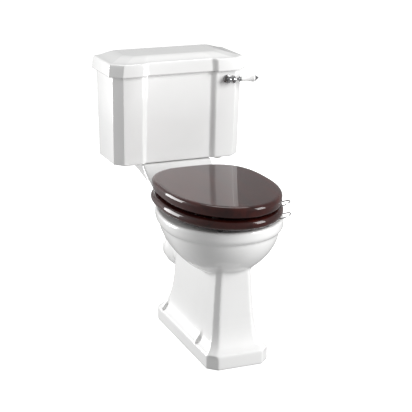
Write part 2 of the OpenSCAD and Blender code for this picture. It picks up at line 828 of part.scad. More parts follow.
// The hub on the spindle, a bulb, a thin waist and a collar against the grip.
module lever_neck() {
    color(chrome) difference() {
        union() {
            on_lever(0) rotate_extrude() polygon(concat(
                [[0, -5], [9.5, -5], [10.5, -4.2], [10.5, -1.8], [9, -0.8], [7, 1], [6.6, 3.4]],
                [for (a = [35 : 13 : 165]) [12 * sin(a), 12 - 8.5 * cos(a)]],
                [[2.8, 22.5], [3.4, 26], [5, 28.6], [7.5, 30.4], [7.5, 32.8], [6.2, 34.4],
                 [6.2, neck_end], [0, neck_end]]));
            on_spindle(lever_face_d + 4.6) cylinder(r = 7, h = lever_d - lever_face_d - 4.6);
        }
        on_spindle(lever_face_d) cylinder(r = 4.02, h = lever_d - lever_face_d - 3.8);
    }
}

// A ceramic grip that flares like a trumpet, with a ferrule at its end.
module lever_grip() {
    color(china) on_lever(neck_end + gap) rotate_extrude() polygon([[0, 0], [6.2, 0],
        [6.8, 1], [6.8, 12], [7, 19], [7.7, 26], [8.9, 31.5], [10.4, 36.4], [10.9, 38.2],
        [10.6, 39.4], [9.6, 40], [9.4, 42.6], [8.4, 43.4], [0, 43.4]]);
}

module lever_finial() {
    color(chrome) on_lever(grip_end) rotate_extrude() polygon([[0, 0], [8.6, 0], [8.7, 1.5],
        [7.6, 3.2], [5, 6.6], [2.6, 10.6], [1.4, 12.3], [0, 12.7]]);
}

module lever_crank() {
    y = from_wall(lever_inner_d - 16);
    offset_x = lever_x - 30;
    color(chrome) difference() {
        union() {
            on_spindle(lever_inner_d - 20) cylinder(r = 9, h = 4);
            // along the front wall, back level with the lift rod, and through its stirrup
            translate([offset_x, y, lever_z - 4]) cube([30, 4, 8]);
            translate([offset_x, y, lever_z - 4]) cube([3, outlet_y - y + 1.5, 8]);
            translate([chamber_x - 12, outlet_y - 1.5, lever_z - 4])
                cube([offset_x - chamber_x + 13, 3, 8]);
        }
        on_spindle(lever_inner_d - 30) cylinder(r = 4.02, h = 40);
    }
}

module lever_crank_nut() {
    color(brass) on_spindle(lever_inner_d - 24) hex_nut(12, 4.02, 3.8);
}

// ---- seat hinge ----

hinge_base_z = rim_z + 3;

module hinge_posts() {
    color(chrome) seat_bolt_places() difference() {
        union() {
            translate([0, 0, hinge_base_z]) cylinder(r = 17, h = 2);
            translate([0, 0, hinge_base_z + 2]) cylinder(r1 = 11, r2 = 6.2, h = 7);
            translate([0, 0, hinge_base_z + 9]) cylinder(r = 6.2, h = hinge_z - hinge_base_z - 9);
            translate([0, 0, hinge_z]) rotate([0, 90, 0])
                cylinder(r = 9, h = 13, center = true);
        }
        translate([-10, 0, hinge_z]) rotate([0, 90, 0]) cylinder(r = 5, h = 20);
    }
}

hinge_bar_half = 92;

module hinge_bar() {
    color(chrome) translate([-hinge_bar_half, hinge_y, hinge_z]) rotate([0, 90, 0])
        cylinder(r = 5, h = 2 * hinge_bar_half);
}

module hinge_bar_caps() {
    color(chrome) pair() translate([hinge_bar_half, hinge_y, hinge_z]) rotate([0, 90, 0])
        rotate_extrude() polygon([[0, 0], [7, 0], [8, 1.5], [8, 4], [6, 7], [3, 8.5], [0, 9]]);
}

module hinge_pads() {
    color(rubber) seat_bolt_places() translate([0, 0, rim_z])
        ring_washer(18, 4.1, hinge_base_z - rim_z);
}

module seat_bolts() {
    color(brass) seat_bolt_places() translate([0, 0, seat_bolt_seat_z - 24])
        cylinder(r = 4, h = hinge_base_z - seat_bolt_seat_z + 24);
}

module seat_bolt_washers() {
    color(rubber) seat_bolt_places() translate([0, 0, seat_bolt_seat_z - 5])
        ring_washer(13, 4.02, 4.8);
}

module seat_wing_nuts() {
    color(plastic) seat_bolt_places() translate([0, 0, seat_bolt_seat_z - 5.2])
        wing_nut(4.02, 7, 11);
}

// A knuckle around the hinge bar, centred at x, with a strap running forward
// between the heights lo and lo + 3.
module hinge_strap(x, lo) {
    length = 52;
    translate([x, hinge_y, hinge_z]) difference() {
        union() {
            rotate([0, 90, 0]) cylinder(r = 8, h = 14, center = true);
            translate([-7, -length, lo - hinge_z]) cube([14, length, 3]);
        }
        rotate([0, 90, 0]) cylinder(r = 5 + run, h = 20, center = true);
    }
}

// Two countersunk screws through a strap, heads flush, pointing along 'down'.
module strap_screws(x, head_z, down) {
    for (d = [22, 42]) translate([x, hinge_y - d, head_z]) scale([1, 1, down]) {
        translate([0, 0, -2]) cylinder(r1 = 1.8, r2 = 3.6, h = 2);
        translate([0, 0, -14]) cylinder(r = 1.8, h = 12);
    }
}

ring_strap_x = 60;
lid_strap_x = 44;

// ---- seat ring ----

wide_d = 485;
ring_egg = [ring_w, from_wall(wide_d - 2), from_wall(ring_nose_d), from_wall(wood_rear_d), 3, 72];
ring_hole = [104, from_wall(wide_d), from_wall(640), from_wall(330), 2.6, 72];
cover_egg = [cover_w, from_wall(wide_d - 5), from_wall(cover_nose_d), from_wall(wood_rear_d), 3,
    72];

function egg_of(e) = egg(e[0], e[1], e[2], e[3], e[4], e[5]);
function inset(e, by) = [e[0] - by, e[1], e[2] + by, e[3] - by, e[4], e[5]];

// The wooden ring: a rounded outer edge, a softened inner edge and a slight crown.
module seat_ring() {
    nose = ring_t / 2;
    // insets from the outer edge with heights, then the same for the hole
    outer = concat(
        [for (a = [-90 : 30 : 60]) [nose * (1 - cos(a)) * 0.9, nose + nose * sin(a)]],
        [[nose, ring_t]]);
    inner = [[-20, ring_t], [-5, ring_t - 2], [0, ring_t - 8], [0, 6], [-4, 0]];
    color(mahogany) difference() {
        band([
            for (p = outer) at_z(egg_of(inset(ring_egg, p[0])), ring_z + p[1]),
            for (p = inner) at_z(egg_of(inset(ring_hole, p[0])), ring_z + p[1])]);
        for (side = [-1, 1], d = [22, 42])
            translate([side * ring_strap_x, hinge_y - d, ring_z + ring_t - 11])
                cylinder(r = 1.8, h = 12);
        at_handle(ring_grip[0], ring_grip[1], ring_grip[2]) handle_screw_holes();
    }
}

module ring_buffers() {
    color(rubber) for (p = [[-66, 650], [66, 650], [-128, 400], [128, 400]])
        translate([p[0], from_wall(p[1]), rim_z + gap])
            cylinder(r1 = 8, r2 = 10, h = ring_z - rim_z - gap);
}

module ring_hinge_straps() {
    color(chrome) pair() difference() {
        hinge_strap(ring_strap_x, ring_z + ring_t);
        screw_seats(ring_strap_x, ring_z + ring_t + 3, 1);
    }
}

module screw_seats(x, head_z, down) {
    for (d = [22, 42]) translate([x, hinge_y - d, head_z]) scale([1, 1, down]) {
        translate([0, 0, -2]) cylinder(r1 = 1.8, r2 = 3.6, h = 2);
        translate([0, 0, -10]) cylinder(r = 1.8, h = 12);
    }
}

module ring_strap_screws() {
    color(brass) pair() strap_screws(ring_strap_x, ring_z + ring_t + 3, 1);
}

// ---- lift handles ----

handle_turn = -33;      // direction outwards
handle_rise = 20;       // tilt of the loop
handle_half = 24;       // half distance of the feet, and radius of the loop
wire_r = 1.6;

// Puts its children at the edge of the wood, +X outwards.
module at_handle(x, d, z) {
    translate([x, from_wall(d), z]) rotate([0, 0, handle_turn]) children();
}

// A half-round wire loop tilted up, its straight feet under the wood.
module wire_loop() {
    for (side = [-1, 1]) translate([0.4, side * handle_half, 0]) rotate([0, -90, 0])
        cylinder(r = wire_r, h = 16.4, $fn = 20);
    rotate([0, -handle_rise, 0]) rotate([0, 0, -90]) rotate_extrude(angle = 180)
        translate([handle_half, 0]) circle(r = wire_r - 0.03, $fn = 20);
}

// The plate that clamps the loop's two feet.
module handle_plate() {
    difference() {
        translate([-15, -handle_half - 6, -2]) cube([11, 2 * handle_half + 12, 4]);
        for (side = [-1, 1]) translate([-20, side * handle_half, 0]) rotate([0, 90, 0])
            cylinder(r = wire_r + 0.02, h = 40);
        for (side = [-1, 1]) translate([-9.5, side * 12, -3]) cylinder(r = 1.7, h = 8);
    }
}

// Two round-headed screws up through the plate into the wood.
module handle_screws() {
    for (side = [-1, 1]) translate([-9.5, side * 12, 0]) {
        translate([0, 0, -3.6]) cylinder(r = 3.2, h = 1.6);
        translate([0, 0, -2]) cylinder(r = 1.65, h = 14);
    }
}

// Holes that the handle's screws leave in the wood above the plate.
module handle_screw_holes() {
    for (side = [-1, 1]) translate([-9.5, side * 12, 0]) cylinder(r = 1.65, h = 12);
}

ring_grip = [129, 617, ring_z - 2];
lid_grip = [126, 618, cover_z - 2];

module ring_handle() {
    color(chrome) at_handle(ring_grip[0], ring_grip[1], ring_grip[2]) wire_loop();
}

module ring_handle_plate() {
    color(chrome) at_handle(ring_grip[0], ring_grip[1], ring_grip[2]) handle_plate();
}

module ring_handle_screws() {
    color(brass) at_handle(ring_grip[0], ring_grip[1], ring_grip[2]) handle_screws();
}

module lid_handle() {
    color(chrome) at_handle(lid_grip[0], lid_grip[1], lid_grip[2]) wire_loop();
}

module lid_handle_plate() {
    color(chrome) at_handle(lid_grip[0], lid_grip[1], lid_grip[2]) handle_plate();
}

module lid_handle_screws() {
    color(brass) at_handle(lid_grip[0], lid_grip[1], lid_grip[2]) handle_screws();
}

// ---- seat lid ----

module seat_lid() {
    edge = 11;
    profile = concat([[8, 0], [3, 1.5], [1, 5]],
        [for (a = [0 : 22.5 : 90]) [edge * (1 - cos(a)), cover_t - edge + edge * sin(a)]]);
    color(mahogany) difference() {
        loft([for (p = profile) at_z(egg_of(inset(cover_egg, p[0])), cover_z + p[1])]);
        for (side = [-1, 1], d = [22, 42])
            translate([side * lid_strap_x, hinge_y - d, cover_z - 1]) cylinder(r = 1.8, h = 12);
        at_handle(lid_grip[0], lid_grip[1], lid_grip[2]) handle_screw_holes();
    }
}

module lid_buffers() {
    color(rubber) for (p = [[-76, 645], [76, 645], [-130, 400], [130, 400]])
        translate([p[0], from_wall(p[1]), ring_z + ring_t + gap])
            cylinder(r1 = 7, r2 = 9, h = cover_z - ring_z - ring_t - gap);
}

module lid_hinge_straps() {
    color(chrome) pair() difference() {
        hinge_strap(lid_strap_x, cover_z - 3);
        screw_seats(lid_strap_x, cover_z - 3, -1);
    }
}

module lid_strap_screws() {
    color(brass) pair() strap_screws(lid_strap_x, cover_z - 3, -1);
}

pan();
cistern();
cistern_lid();
coupling_gasket();
coupling_bolts();
coupling_rubber_washers();
coupling_steel_washers();
coupling_wing_nuts();
siphon_body();
siphon_washer();
siphon_back_nut();
lift_rod();
lift_plate();
lift_diaphragm();
lift_stirrup();
fill_valve_shank();
fill_valve_washer();
fill_valve_back_nut();
fill_valve_head();
silencer_tube();
float_cup();
float_rod();
valve_lever();
lever_rose();
lever_bush();
lever_bush_nut();
lever_spindle();
lever_neck();
lever_grip();
lever_finial();
lever_crank();
lever_crank_nut();
hinge_posts();
hinge_bar();
hinge_bar_caps();
hinge_pads();
seat_bolts();
seat_bolt_washers();
seat_wing_nuts();
seat_ring();
ring_buffers();
ring_hinge_straps();
ring_strap_screws();
ring_handle();
ring_handle_plate();
ring_handle_screws();
seat_lid();
lid_buffers();
lid_hinge_straps();
lid_strap_screws();
lid_handle();
lid_handle_plate();
lid_handle_screws();
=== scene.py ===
# Looks of a close coupled toilet: white glazed pan and cistern, dark wooden seat,
# chrome and ceramic flush lever. Everything is in metres, in the CAD frame.
import json
import math

import bmesh
import bpy
from mathutils import Matrix, Vector


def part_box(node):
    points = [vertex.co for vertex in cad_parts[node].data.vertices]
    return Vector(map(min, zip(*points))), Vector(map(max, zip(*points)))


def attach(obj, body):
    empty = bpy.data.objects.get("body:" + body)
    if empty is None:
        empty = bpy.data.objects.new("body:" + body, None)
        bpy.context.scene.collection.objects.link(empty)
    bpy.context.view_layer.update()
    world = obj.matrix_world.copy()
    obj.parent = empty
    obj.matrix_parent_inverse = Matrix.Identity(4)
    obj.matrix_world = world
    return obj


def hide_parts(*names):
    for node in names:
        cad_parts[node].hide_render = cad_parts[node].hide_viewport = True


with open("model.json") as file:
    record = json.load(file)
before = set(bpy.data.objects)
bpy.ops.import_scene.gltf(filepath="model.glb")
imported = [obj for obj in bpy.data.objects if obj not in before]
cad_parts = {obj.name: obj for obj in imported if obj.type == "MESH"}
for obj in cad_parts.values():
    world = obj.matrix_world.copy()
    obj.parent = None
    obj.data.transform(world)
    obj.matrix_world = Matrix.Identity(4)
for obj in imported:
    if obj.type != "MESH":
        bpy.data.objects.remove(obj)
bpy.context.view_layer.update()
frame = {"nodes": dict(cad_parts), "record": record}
NODES = frame["nodes"]
MM = 0.001

# The wall plane: 3 mm behind the cistern body, which the lid's rear edge touches.
WALL_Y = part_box("cistern_lid")[1].y


def from_wall(distance):
    """A y coordinate in metres from a distance to the wall in millimetres."""
    return WALL_Y - distance * MM


# ---- materials ----


def material(name, base=(0.8, 0.8, 0.8), roughness=0.5, metallic=0.0, **sockets):
    """A material with a Principled shader, and its nodes by name."""
    mat = bpy.data.materials.new(name)
    mat.use_nodes = True
    shader = mat.node_tree.nodes["Principled BSDF"]
    shader.inputs["Base Color"].default_value = (*base, 1)
    shader.inputs["Roughness"].default_value = roughness
    shader.inputs["Metallic"].default_value = metallic
    for socket, value in sockets.items():
        shader.inputs[socket.replace("_", " ")].default_value = value
    return mat, mat.node_tree, shader


def node(tree, kind, inputs=None, **props):
    """A shader node with its properties and unlinked inputs set."""
    made = tree.nodes.new(kind)
    for key, value in props.items():
        setattr(made, key, value)
    for key, value in (inputs or {}).items():
        made.inputs[key].default_value = value
    return made


def coordinates(tree, scale=(1, 1, 1), rotation=(0, 0, 0)):
    """Object coordinates through a mapping."""
    source = node(tree, "ShaderNodeTexCoord")
    mapping = node(tree, "ShaderNodeMapping", {"Scale": scale, "Rotation": rotation})
    tree.links.new(source.outputs["Object"], mapping.inputs["Vector"])
    return mapping.outputs["Vector"]


def noise(tree, vector, scale, detail=2.0, roughness=0.5, distortion=0.0):
    """The factor of a noise texture."""
    made = node(
        tree,
        "ShaderNodeTexNoise",
        {"Scale": scale, "Detail": detail, "Roughness": roughness, "Distortion": distortion},
    )
    tree.links.new(vector, made.inputs["Vector"])
    return made.outputs["Fac"]


def ramp(tree, factor, stops):
    """A colour ramp through (position, colour) stops."""
    made = node(tree, "ShaderNodeValToRGB")
    elements = made.color_ramp.elements
    while len(elements) < len(stops):
        elements.new(0.5)
    for element, (position, colour) in zip(elements, stops):
        element.position = position
        element.color = (*colour, 1)
    tree.links.new(factor, made.inputs["Fac"])
    return made.outputs["Color"]


def grey_range(tree, factor, low, high):
    """Maps a factor of 0 to 1 onto low to high."""
    made = node(tree, "ShaderNodeMapRange", {"To Min": low, "To Max": high})
    tree.links.new(factor, made.inputs["Value"])
    return made.outputs["Result"]


def bump(tree, shader, height, strength, distance, socket="Normal"):
    """Bumps one of the shader's normals by a height."""
    made = node(tree, "ShaderNodeBump", {"Strength": strength, "Distance": distance})
    tree.links.new(height, made.inputs["Height"])
    tree.links.new(made.outputs["Normal"], shader.inputs[socket])


def glazed_china(name, tint=(0.90, 0.90, 0.895)):
    """White fired clay under a clear glaze, with the slight waviness of dipped glaze."""
    mat, tree, shader = material(
        name, base=tint, roughness=0.32, Specular_IOR_Level=0.4,
        Coat_Weight=1.0, Coat_Roughness=0.035, Coat_IOR=1.52,
    )
    vector = coordinates(tree)
    cloud = noise(tree, vector, 9.0, detail=3.0)
    light = tuple(min(c * 1.012, 1) for c in tint)
    dark = tuple(c * 0.985 for c in tint)
    tree.links.new(ramp(tree, cloud, [(0.3, dark), (0.7, light)]), shader.inputs["Base Color"])
    tree.links.new(grey_range(tree, cloud, 0.28, 0.36), shader.inputs["Roughness"])
    waves = noise(tree, vector, 22.0, detail=1.0)
    bump(tree, shader, waves, 0.12, 0.0006, socket="Coat Normal")
    return mat


def lacquered_mahogany(name):
    """Dark red-brown wood, its grain running front to back, under gloss lacquer."""
    mat, tree, shader = material(
        name, base=(0.03, 0.009, 0.006), roughness=0.35, Specular_IOR_Level=0.1,
        Coat_Weight=1.0, Coat_Roughness=0.04, Coat_IOR=1.42,
    )
    stretched = coordinates(tree, scale=(1.0, 0.09, 1.0))
    figure = noise(tree, stretched, 28.0, detail=6.0, roughness=0.6, distortion=0.6)
    pores = noise(tree, coordinates(tree, scale=(1.0, 0.03, 1.0)), 420.0, detail=2.0)
    colour = ramp(
        tree, figure,
        [(0.30, (0.018, 0.0028, 0.0020)), (0.48, (0.034, 0.0045, 0.0030)),
         (0.60, (0.050, 0.0065, 0.0040)), (0.74, (0.027, 0.0040, 0.0028))],
    )
    tree.links.new(colour, shader.inputs["Base Color"])
    tree.links.new(grey_range(tree, pores, 0.44, 0.56), shader.inputs["Roughness"])
    bump(tree, shader, pores, 0.04, 0.0001)
    return mat


def chrome(name):
    """Polished plating with the faintest haze of handling."""
    mat, tree, shader = material(name, base=(0.46, 0.46, 0.47), roughness=0.06, metallic=1.0)
    haze = noise(tree, coordinates(tree), 160.0, detail=3.0)
    tree.links.new(grey_range(tree, haze, 0.04, 0.11), shader.inputs["Roughness"])
    return mat


def brushed_steel(name):
    """Plain steel with fine brush lines."""
    mat, tree, shader = material(name, base=(0.56, 0.56, 0.57), roughness=0.3, metallic=1.0)
    lines = noise(tree, coordinates(tree, scale=(1.0, 1.0, 14.0)), 380.0, detail=2.0)
    tree.links.new(grey_range(tree, lines, 0.24, 0.42), shader.inputs["Roughness"])
    bump(tree, shader, lines, 0.2, 0.00008)
    return mat


def turned_brass(name):
    """Plain brass, a little tarnished in random patches."""
    mat, tree, shader = material(name, base=(0.62, 0.42, 0.16), roughness=0.3, metallic=1.0)
    tarnish = noise(tree, coordinates(tree), 75.0, detail=5.0)
    colour = ramp(tree, tarnish, [(0.35, (0.40, 0.25, 0.09)), (0.6, (0.66, 0.46, 0.19))])
    tree.links.new(colour, shader.inputs["Base Color"])
    tree.links.new(grey_range(tree, tarnish, 0.42, 0.22), shader.inputs["Roughness"])
    return mat


def moulded(name, colour, roughness, grain):
    """Moulded rubber or plastic with a fine even grain."""
    mat, tree, shader = material(name, base=colour, roughness=roughness)
    vector = coordinates(tree)
    speckle = noise(tree, vector, grain, detail=3.0)
    light = tuple(min(c * 1.12 + 0.004, 1) for c in colour)
    tree.links.new(
        ramp(tree, speckle, [(0.35, tuple(c * 0.9 for c in colour)), (0.65, light)]),
        shader.inputs["Base Color"],
    )
    tree.links.new(
        grey_range(tree, speckle, roughness - 0.06, roughness + 0.08),
        shader.inputs["Roughness"],
    )
    bump(tree, shader, speckle, 0.15, 0.0001)
    return mat


def make_materials():
    """One material for each slot of the record."""
    return {
        "china": glazed_china("china"),
        "lever_china": glazed_china("lever_china", tint=(0.91, 0.91, 0.905)),
        "mahogany": lacquered_mahogany("mahogany"),
        "chrome": chrome("chrome"),
        "steel": brushed_steel("steel"),
        "brass": turned_brass("brass"),
        "rubber": moulded("rubber", (0.018, 0.018, 0.018), 0.6, 900.0),
        "white_plastic": moulded("white_plastic", (0.72, 0.72, 0.70), 0.42, 600.0),
        "float_plastic": moulded("float_plastic", (0.10, 0.15, 0.24), 0.45, 600.0),
    }


MATERIALS = make_materials()


# ---- mesh building ----


def turns(count):
    """Angles of even steps around a circle."""
    return [2 * math.pi * k / count for k in range(count)]


def egg(half, wide_y, front_y, rear_y, square=2.0, count=96):
    """An egg outline: an ellipse in front of its widest line, a squarer curve behind."""
    points = []
    for angle in turns(count):
        c, s = math.cos(angle), math.sin(angle)
        if s >= 0:
            x = half * math.copysign(abs(c) ** (2 / square), c)
            y = wide_y + (rear_y - wide_y) * s ** (2 / square)
        else:
            x = half * c
            y = wide_y + (wide_y - front_y) * s
        points.append((x, y))
    return points


def fillet(corners, steps=5):
    """Rounds a closed polygon of (x, y, radius) corners with arcs of steps + 1 points."""
    outline = []
    count = len(corners)
    for i, (x, y, radius) in enumerate(corners):
        here = Vector((x, y))
        before = (Vector(corners[i - 1][:2]) - here).normalized()
        after = (Vector(corners[(i + 1) % count][:2]) - here).normalized()
        half_angle = before.angle(after) / 2
        if radius <= 0 or abs(half_angle - math.pi / 2) < 1e-4:
            outline.append((x, y))
            continue
        reach = radius / math.tan(half_angle)
        centre = here + (before + after).normalized() * (radius / math.sin(half_angle))
        start = here + before * reach - centre
        end = here + after * reach - centre
        turn = start.angle_signed(end)
        for k in range(steps + 1):
            spoke = start.copy()
            spoke.rotate(Matrix.Rotation(-turn * k / steps, 2))
            outline.append(tuple(centre + spoke))
    return outline


def at_height(outline, z):
    """A level ring from an outline of (x, y) points."""
    return [(x, y, z) for x, y in outline]


def new_object(name, mesh):
    """An object in the scene that holds a mesh, a light or a camera."""
    made = bpy.data.objects.new(name, mesh)
    bpy.context.scene.collection.objects.link(made)
    return made


def loft(name, rings, closed=False):
    """A solid over rings of equal point count. A closed one joins its last ring to its first."""
    bm = bmesh.new()
    rows = [[bm.verts.new(p) for p in ring] for ring in rings]
    pairs = list(zip(rows, rows[1:] + rows[:1] if closed else rows[1:]))
    for low, high in pairs:
        for i in range(len(low)):
            j = (i + 1) % len(low)
            bm.faces.new((low[i], low[j], high[j], high[i]))
    if not closed:
        bm.faces.new(reversed(rows[0]))
        bm.faces.new(rows[-1])
    bmesh.ops.recalc_face_normals(bm, faces=bm.faces)
    mesh = bpy.data.meshes.new(name)
    bm.to_mesh(mesh)
    bm.free()
    return new_object(name, mesh)


def cylinder(name, start, end, radius, count=48):
    """A solid rod between two points."""
    start, end = Vector(start), Vector(end)
    turn = (end - start).to_track_quat("Z", "Y")
    rings = []
    for centre in (start, end):
        rings.append([
            centre + turn @ Vector((radius * math.cos(a), radius * math.sin(a), 0))
            for a in turns(count)
        ])
    return loft(name, rings)


def catmull(points, steps):
    """A smooth curve through the points."""
    curve = []
    for i in range(len(points) - 1):
        a = Vector(points[max(i - 1, 0)])
        b, c = Vector(points[i]), Vector(points[i + 1])
        d = Vector(points[min(i + 2, len(points) - 1)])
        for k in range(steps):
            t = k / steps
            curve.append(0.5 * (
                2 * b + (c - a) * t + (2 * a - 5 * b + 4 * c - d) * t * t
                + (3 * b - a - 3 * c + d) * t ** 3
            ))
    curve.append(Vector(points[-1]))
    return curve


def tube(name, path, radii, count=32):
    """A tube along a path that lies in the plane x = 0."""
    rings = []
    for i, centre in enumerate(path):
        along = (path[min(i + 1, len(path) - 1)] - path[max(i - 1, 0)]).normalized()
        across = Vector((0, -along.z, along.y))
        rings.append([
            centre + radii[i] * (math.cos(a) * Vector((1, 0, 0)) + math.sin(a) * across)
            for a in turns(count)
        ])
    return loft(name, rings)


def bake_modifiers(obj):
    """Replaces the object's mesh with the result of its modifiers."""
    graph = bpy.context.evaluated_depsgraph_get()
    mesh = bpy.data.meshes.new_from_object(obj.evaluated_get(graph))
    old = obj.data
    obj.modifiers.clear()
    obj.data = mesh
    bpy.data.meshes.remove(old)


def combine(base, parts, operation):
    """Joins closed solids to an object or cuts them from it, and removes them."""
    for part in parts:
        step = base.modifiers.new(part.name, "BOOLEAN")
        step.solver = "MANIFOLD"
        step.operation = operation
        step.object = part
    bake_modifiers(base)
    for part in parts:
        mesh = part.data
        bpy.data.objects.remove(part)
        bpy.data.meshes.remove(mesh)


def cut_away(base, parts):
    """Cuts closed solids from an object."""
    combine(base, parts, "DIFFERENCE")


def sculpt(base, joined, cut, voxel, steps):
    """Joins and cuts closed solids, then rounds every edge as a glaze does."""
    combine(base, joined, "UNION")
    cut_away(base, cut)
    skin = base.modifiers.new("skin", "REMESH")
    skin.mode = "VOXEL"
    skin.voxel_size = voxel
    soft = base.modifiers.new("soft", "SMOOTH")
    soft.factor = 0.5
    soft.iterations = steps
    bake_modifiers(base)
    return base


def paint(obj, slot, angle=None):
    """One material and smooth shading, broken at edges sharper than an angle in degrees."""
    obj.data.materials.clear()
    obj.data.materials.append(MATERIALS[slot])
    for polygon in obj.data.polygons:
        polygon.use_smooth = True
    if angle is not None:
        obj.data.set_sharp_from_angle(angle=math.radians(angle))


def dress(obj, slot, body, *nodes, angle=None):
    """Gives a piece its material, its shading and its body, and hides what it replaces."""
    paint(obj, slot, angle)
    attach(obj, body)
    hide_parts(*nodes)


# ---- pan ----

RIM_Z = 400 * MM
BAND_H = 36 * MM
BAND_Z = RIM_Z - BAND_H
RIM_LIP = 11.5 * MM
BOWL_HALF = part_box("pan")[1].x - RIM_LIP
BOWL_H = 134 * MM
BOWL_BULGE = 1.73
BOWL_AXIS_D, BOWL_NOSE_D, BOWL_REAR_D = 508, 675, 242
CLAY = 12 * MM
BOWL_TOP_EASE = 5 * MM
OUTLET_D = 85
COUPLING_X = 75 * MM
SHELF_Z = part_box("pan")[1].z
SHELF_HALF, SHELF_REAR_D = 108, 6
SHELF_FRONT_D, COVE_FRONT_D = 158, 258
FOOT_HALF, FOOT_H = 91 * MM, 40 * MM
FOOT_FRONT_D, FOOT_REAR_D = 643, 205
FOOT_CHAMFER = 26 * MM
PLINTH_EDGE, PLINTH_REAR = 3 * MM, 24 * MM
COLUMN_FRONT_D, COLUMN_REAR_D = 602, 270
COLUMN_HALF, COLUMN_HALF_Z, COLUMN_TAPER = 53, 250, 0.062


def bowl_scale(z, depth):
    """Scale of the bowl's outline at a height: 1 at the rim band and 0 at its foot."""
    fall = max((BAND_Z - z) / depth, 0)
    return max(1 - fall ** BOWL_BULGE, 0) ** (1 / BOWL_BULGE)


def bowl_outline(scale, inset, rear_inset, z):
    """The bowl's outline at a height, drawn in by an inset in metres."""
    axis = from_wall(BOWL_AXIS_D)
    front = axis - (axis - from_wall(BOWL_NOSE_D) - inset) * scale
    rear = axis + (from_wall(BOWL_REAR_D) - axis - rear_inset) * scale
    return at_height(egg((BOWL_HALF - inset) * scale, axis, front, rear, 2.2), z)


def bowl_outside():
    """The bowl up to its rim band, from a small level foot."""
    rings = []
    for k in range(26):
        z = BAND_Z - BOWL_H * math.sin(math.radians(80 * (1 - k / 25)))
        rings.append(bowl_outline(bowl_scale(z, BOWL_H), 0, 0, z))
    for k in range(1, 9):  # the rounded underside of the rim band
        angle = math.pi / 2 * k / 8
        rings.append(bowl_outline(
            1, -RIM_LIP * math.sin(angle), 0,
            BAND_Z + 0.3 * MM + 16 * MM * (1 - math.cos(angle))))
    for k in range(6):  # and its rounded top edge
        angle = math.pi / 2 * k / 5
        rings.append(bowl_outline(
            1, -RIM_LIP + BOWL_TOP_EASE * (1 - math.cos(angle)), 0,
            RIM_Z - BOWL_TOP_EASE * (1 - math.sin(angle))))
    return loft("bowl_outside", rings)


def bowl_inside():
    """The basin below an overhanging flush rim."""
    depth = BOWL_H - CLAY
    rear = 3 * CLAY
    under = BAND_Z - 8 * MM
    rings = []
    for k in range(20):
        z = BAND_Z - depth * math.sin(math.radians(4 + 72 * (1 - k / 19)))
        if z < under:
            rings.append(bowl_outline(bowl_scale(z, depth), CLAY, rear, z))
    rings.append(bowl_outline(1, CLAY, rear, under))
    for z in (under + 8 * MM, RIM_Z + 10 * MM):
        rings.append(bowl_outline(1, 30 * MM, 90 * MM, z))
    return loft("bowl_inside", rings)


def shelf_top(d):
    """Height of the shelf, and of the cove in front of it, in millimetres."""
    shelf, rim = SHELF_Z / MM, RIM_Z / MM
    if d <= SHELF_FRONT_D:
        return shelf
    share = max((COVE_FRONT_D - d) / (COVE_FRONT_D - SHELF_FRONT_D), 0)
    return rim + (shelf - rim) * share ** 1.5


def shelf_under(d):
    """Height of the shelf's underside, in millimetres."""
    if d <= 210:
        return 443 - 33 * (d / 210) ** 2
    return 410 - 41 * min((d - 210) / 80, 1)


def shelf():
    """The shelf under the cistern and its cove, in upright sections."""
    rings = []
    stations = [6, 8, 12, 40, 80, 120, 150, 156, 159, 162, 166, 171, 177, 184,
                192, 201, 211, 222, 234, 246, 258, 275, 300]
    for d in stations:
        half = SHELF_HALF - max(d - SHELF_FRONT_D, 0) / 17
        edge = max(3 - (d - SHELF_REAR_D) * 1.2, 0)
        corners = [
            (half - edge, shelf_top(d) - edge, 5), (-half + edge, shelf_top(d) - edge, 5),
            (-half + edge, shelf_under(d) + edge, 6), (half - edge, shelf_under(d) + edge, 6),
        ]
        rings.append([(x * MM, from_wall(d), z * MM) for x, z in fillet(corners)])
    return loft("shelf", rings)


def flushway():
    """The clay around the flushway, from under the cistern to the rim."""
    sections = [(40, 30, 404, 444), (56, 44, 390, 446), (115, 46, 376, 436),
                (200, 46, 342, 404), (290, 50, 314, 382)]
    rings = []
    for d, half, low, high in sections:
        rings.append([
            (half * MM * math.cos(a), from_wall(d),
             ((low + high) / 2 + (high - low) / 2 * math.sin(a)) * MM)
            for a in turns(40)
        ])
    return loft("flushway", rings)


def plinth(half, front_d, rear_d, chamfer, z):
    """The foot's outline: chamfered front corners and round rear ones."""
    front, rear = from_wall(front_d), from_wall(rear_d)
    corners = [
        (half, front + chamfer, PLINTH_EDGE), (half, rear, PLINTH_REAR),
        (-half, rear, PLINTH_REAR), (-half, front + chamfer, PLINTH_EDGE),
        (-half + chamfer, front, PLINTH_EDGE), (half - chamfer, front, PLINTH_EDGE),
    ]
    return at_height(fillet(corners, 6), z)


def column_half(z):
    """The column's half width at a height, both in millimetres."""
    foot_z = FOOT_H / MM
    straight = COLUMN_HALF + COLUMN_TAPER * (COLUMN_HALF_Z - z)
    flare = FOOT_HALF / MM - COLUMN_HALF - COLUMN_TAPER * (COLUMN_HALF_Z - foot_z)
    return straight + flare * math.exp(-(z - foot_z) / 22)


def column_ring(z, inset=0.0):
    """The column's outline at a height in millimetres, flared towards the foot."""
    rise = z - FOOT_H / MM
    front = COLUMN_FRONT_D + (FOOT_FRONT_D - COLUMN_FRONT_D) * math.exp(-rise / 33)
    rear = COLUMN_REAR_D - (COLUMN_REAR_D - FOOT_REAR_D) * math.exp(-rise / 56)
    chamfer = (13 + 5 * math.exp(-rise / 60) - inset / 3) * MM
    return plinth((column_half(z) - inset) * MM, front - inset, rear + inset, chamfer, z * MM)


